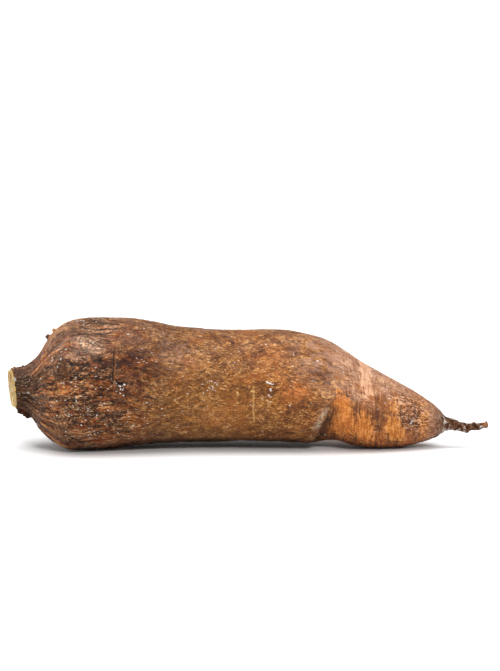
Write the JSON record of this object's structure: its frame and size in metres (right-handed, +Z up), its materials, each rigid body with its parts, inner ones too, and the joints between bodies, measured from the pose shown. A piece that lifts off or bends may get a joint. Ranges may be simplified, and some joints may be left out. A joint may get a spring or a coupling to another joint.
{
  "type": "cassava root",
  "caption": "Whole cassava root lying on its side, with rough brown bark, a cut woody neck at one end and a thin tail at the other.",
  "frame": {"origin": "on the surface that the root lies on, under the middle of its box", "axes": "+X runs from the cut neck to the thin tail, -Y is the front, and +Z is up"},
  "size_m": [0.279, 0.0768, 0.0756],
  "materials": {
    "bark": "rough brown root bark under a thin clear coat of wax, rubbed to orange near the tail, with pale wood on the cut neck"
  },
  "bodies": {
    "root": {"cassava_root": "bark"}
  },
  "joints": []
}
